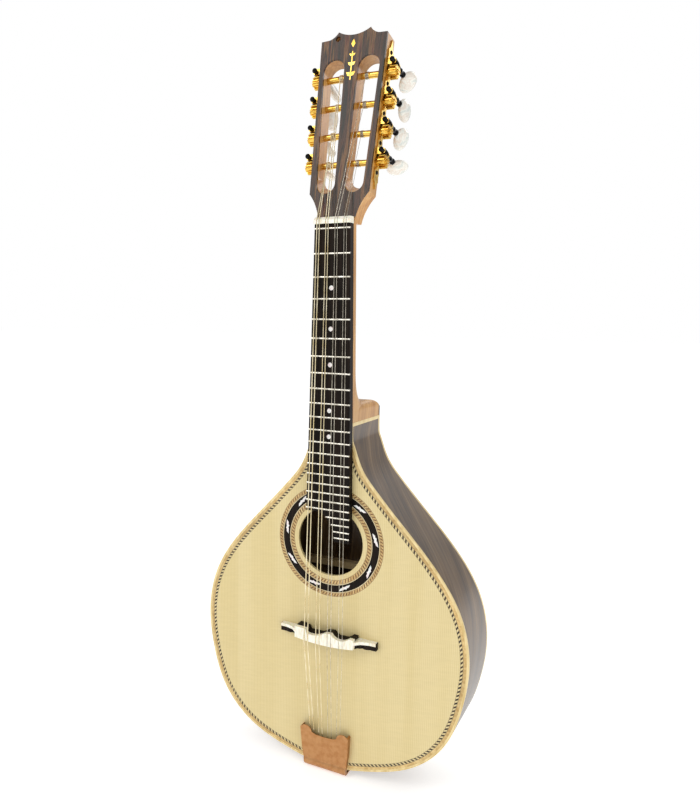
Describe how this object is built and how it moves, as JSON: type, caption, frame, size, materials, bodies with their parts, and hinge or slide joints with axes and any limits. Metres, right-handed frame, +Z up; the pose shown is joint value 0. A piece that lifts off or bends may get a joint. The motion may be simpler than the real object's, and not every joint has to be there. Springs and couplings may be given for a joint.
{
  "type": "eight-string teardrop lute",
  "caption": "Flat-backed teardrop-bodied lute with paired steel strings, slotted head, worm-geared tuners, floating bridge and covered tailpiece.",
  "frame": {"origin": "on the flat back, behind the bridge, at the middle of the body's width", "axes": "+Z up the neck to the head, -Y out of the soundboard, +Y out of the back, +X to the treble side"},
  "size_m": [0.2508, 0.0859, 0.6319],
  "materials": {
    "spruce": "satin lacquer, straight grain",
    "rosewood": "satin lacquer, diagonal streaks",
    "maple_binding": "satin lacquer",
    "rope_inlay": "slanted two-tone inlay",
    "maple_line": "satin lacquer",
    "inner_spruce": "bare",
    "ebony": "oiled",
    "pearl": "polished mother of pearl",
    "neck_wood": "satin lacquer",
    "striped_veneer": "gloss lacquer, striped",
    "gold_brass": "polished",
    "nickel": "polished nickel silver",
    "bone": "polished bone",
    "copper": "brushed copper",
    "string_bronze": "wound bronze",
    "string_steel": "plain steel",
    "black_steel": "black oxide",
    "pearl_button": "pearl celluloid"
  },
  "bodies": {
    "instrument": {"soundboard": "spruce", "back_plate": "rosewood", "rib_bass": "rosewood", "rib_treble": "rosewood", "front_binding": "maple_binding", "back_binding": "maple_binding", "joint_strip": "maple_binding", "rope_purfling": "rope_inlay", "rosette_rope_rings": "rope_inlay", "rosette_lines": "maple_line", "linings": "inner_spruce", "soundboard_braces": "inner_spruce", "back_braces": "inner_spruce", "tail_block": "inner_spruce", "neck_block": "inner_spruce", "rosette_black_ring": "ebony", "fretboard": "ebony", "bridge": "ebony", "heel_cap": "ebony", "rosette_leaves": "pearl", "position_dots": "pearl", "neck": "neck_wood", "headstock": "neck_wood", "head_veneer": "striped_veneer", "head_inlay": "gold_brass", "tuner_plate_bass": "gold_brass", "tuner_plate_treble": "gold_brass", "frets": "nickel", "tailpiece_plate": "nickel", "tail_screws": "nickel", "nut": "bone", "saddle": "bone", "tailpiece_cover": "copper", "wound_strings": "string_bronze", "plain_strings": "string_steel", "plate_screws": "black_steel"},
    "peg_bass_1": {"worm_bass_1": "black_steel", "button_bass_1": "pearl_button"},
    "spool_bass_1": {"roller_bass_1": "gold_brass"},
    "peg_bass_2": {"worm_bass_2": "black_steel", "button_bass_2": "pearl_button"},
    "spool_bass_2": {"roller_bass_2": "gold_brass"},
    "peg_bass_3": {"worm_bass_3": "black_steel", "button_bass_3": "pearl_button"},
    "spool_bass_3": {"roller_bass_3": "gold_brass"},
    "peg_bass_4": {"worm_bass_4": "black_steel", "button_bass_4": "pearl_button"},
    "spool_bass_4": {"roller_bass_4": "gold_brass"},
    "peg_treble_1": {"worm_treble_1": "black_steel", "button_treble_1": "pearl_button"},
    "spool_treble_1": {"roller_treble_1": "gold_brass"},
    "peg_treble_2": {"worm_treble_2": "black_steel", "button_treble_2": "pearl_button"},
    "spool_treble_2": {"roller_treble_2": "gold_brass"},
    "peg_treble_3": {"worm_treble_3": "black_steel", "button_treble_3": "pearl_button"},
    "spool_treble_3": {"roller_treble_3": "gold_brass"},
    "peg_treble_4": {"worm_treble_4": "black_steel", "button_treble_4": "pearl_button"},
    "spool_treble_4": {"roller_treble_4": "gold_brass"}
  },
  "joints": [
    {"name": "peg_bass_1_turn", "type": "hinge", "parent": "instrument", "child": "peg_bass_1", "pos_m": [-0.0321, -0.04171, 0.40346], "axis": [0, -0.9809, 0.1947], "continuous": true},
    {"name": "spool_bass_1_turn", "type": "hinge", "parent": "instrument", "child": "spool_bass_1", "pos_m": [-0.02635, -0.04305, 0.39671], "axis": [-0.9998, -0.0042, -0.0213], "continuous": true},
    {"name": "peg_bass_2_turn", "type": "hinge", "parent": "instrument", "child": "peg_bass_2", "pos_m": [-0.03261, -0.03713, 0.4265], "axis": [0, -0.9809, 0.1947], "continuous": true},
    {"name": "spool_bass_2_turn", "type": "hinge", "parent": "instrument", "child": "spool_bass_2", "pos_m": [-0.02686, -0.03847, 0.41975], "axis": [-0.9998, -0.0042, -0.0213], "continuous": true},
    {"name": "peg_bass_3_turn", "type": "hinge", "parent": "instrument", "child": "peg_bass_3", "pos_m": [-0.03313, -0.03256, 0.44954], "axis": [0, -0.9809, 0.1947], "continuous": true},
    {"name": "spool_bass_3_turn", "type": "hinge", "parent": "instrument", "child": "spool_bass_3", "pos_m": [-0.02737, -0.03389, 0.4428], "axis": [-0.9998, -0.0042, -0.0213], "continuous": true},
    {"name": "peg_bass_4_turn", "type": "hinge", "parent": "instrument", "child": "peg_bass_4", "pos_m": [-0.03364, -0.02798, 0.47259], "axis": [0, -0.9809, 0.1947], "continuous": true},
    {"name": "spool_bass_4_turn", "type": "hinge", "parent": "instrument", "child": "spool_bass_4", "pos_m": [-0.02788, -0.02932, 0.46584], "axis": [-0.9998, -0.0042, -0.0213], "continuous": true},
    {"name": "peg_treble_1_turn", "type": "hinge", "parent": "instrument", "child": "peg_treble_1", "pos_m": [0.0321, -0.04171, 0.40346], "axis": [0, -0.9809, 0.1947], "continuous": true},
    {"name": "spool_treble_1_turn", "type": "hinge", "parent": "instrument", "child": "spool_treble_1", "pos_m": [0.02635, -0.04305, 0.39671], "axis": [0.9998, -0.0042, -0.0213], "continuous": true},
    {"name": "peg_treble_2_turn", "type": "hinge", "parent": "instrument", "child": "peg_treble_2", "pos_m": [0.03261, -0.03713, 0.4265], "axis": [0, -0.9809, 0.1947], "continuous": true},
    {"name": "spool_treble_2_turn", "type": "hinge", "parent": "instrument", "child": "spool_treble_2", "pos_m": [0.02686, -0.03847, 0.41975], "axis": [0.9998, -0.0042, -0.0213], "continuous": true},
    {"name": "peg_treble_3_turn", "type": "hinge", "parent": "instrument", "child": "peg_treble_3", "pos_m": [0.03313, -0.03256, 0.44954], "axis": [0, -0.9809, 0.1947], "continuous": true},
    {"name": "spool_treble_3_turn", "type": "hinge", "parent": "instrument", "child": "spool_treble_3", "pos_m": [0.02737, -0.03389, 0.4428], "axis": [0.9998, -0.0042, -0.0213], "continuous": true},
    {"name": "peg_treble_4_turn", "type": "hinge", "parent": "instrument", "child": "peg_treble_4", "pos_m": [0.03364, -0.02798, 0.47259], "axis": [0, -0.9809, 0.1947], "continuous": true},
    {"name": "spool_treble_4_turn", "type": "hinge", "parent": "instrument", "child": "spool_treble_4", "pos_m": [0.02788, -0.02932, 0.46584], "axis": [0.9998, -0.0042, -0.0213], "continuous": true}
  ],
  "couplings": [
    {"joint": "spool_bass_1_turn", "follows": "peg_bass_1_turn", "ratio": -0.071429},
    {"joint": "spool_bass_2_turn", "follows": "peg_bass_2_turn", "ratio": -0.071429},
    {"joint": "spool_bass_3_turn", "follows": "peg_bass_3_turn", "ratio": -0.071429},
    {"joint": "spool_bass_4_turn", "follows": "peg_bass_4_turn", "ratio": -0.071429},
    {"joint": "spool_treble_1_turn", "follows": "peg_treble_1_turn", "ratio": -0.071429},
    {"joint": "spool_treble_2_turn", "follows": "peg_treble_2_turn", "ratio": -0.071429},
    {"joint": "spool_treble_3_turn", "follows": "peg_treble_3_turn", "ratio": -0.071429},
    {"joint": "spool_treble_4_turn", "follows": "peg_treble_4_turn", "ratio": -0.071429}
  ]
}
